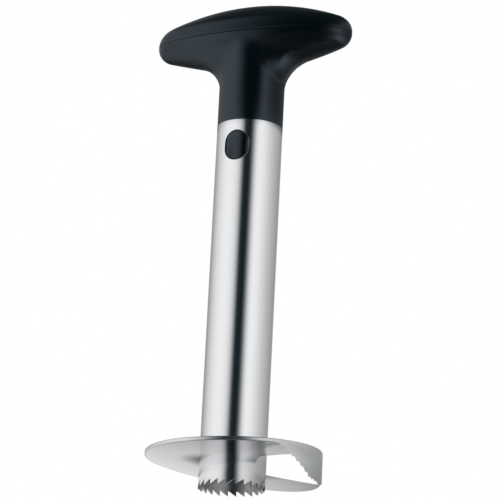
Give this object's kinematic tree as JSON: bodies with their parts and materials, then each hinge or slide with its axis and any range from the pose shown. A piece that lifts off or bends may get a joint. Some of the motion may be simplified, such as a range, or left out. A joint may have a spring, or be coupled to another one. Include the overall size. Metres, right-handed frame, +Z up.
{
  "type": "pineapple cutter",
  "caption": "Hand-turned pineapple cutter: a T handle with release buttons on a toothed steel core tube that carries a spiral slicing blade and a serrated peeling rim.",
  "frame": {"origin": "on the tube's axis, in the plane of the tooth tips that the cutter stands on", "axes": "+Z up the tube towards the handle, +X along the handle bar, -Y out of the front release button"},
  "size_m": [0.1026, 0.084, 0.2428],
  "materials": {
    "brushed_steel": "fine brushed round the tube",
    "blade_steel": "satin, brushed round the axis",
    "black_plastic": "satin black, moulded",
    "inner_plastic": "dark moulded",
    "screw_steel": "plated"
  },
  "bodies": {
    "cutter": {"core_tube": "brushed_steel", "slicing_blade": "blade_steel", "rim_blade": "blade_steel"},
    "handle": {"handle_shell": "black_plastic", "handle_cap": "black_plastic", "latch_plug": "inner_plastic", "plug_screws": "screw_steel"},
    "front_button": {"front_latch": "black_plastic"},
    "rear_button": {"rear_latch": "black_plastic"}
  },
  "joints": [
    {"name": "handle_pull", "type": "slide", "parent": "cutter", "child": "handle", "axis": [0, 0, 1], "range_m": [0, 0.06], "deforming": ["front_latch", "rear_latch"]},
    {"name": "front_press", "type": "hinge", "parent": "handle", "child": "front_button", "pos_m": [0, -0.0116, 0.1385], "axis": [-1, 0, 0], "range_deg": [0, 5], "stiffness_Nm_per_rad": 2.6},
    {"name": "rear_press", "type": "hinge", "parent": "handle", "child": "rear_button", "pos_m": [0, 0.0116, 0.1385], "axis": [1, 0, 0], "range_deg": [0, 5], "stiffness_Nm_per_rad": 2.6}
  ]
}
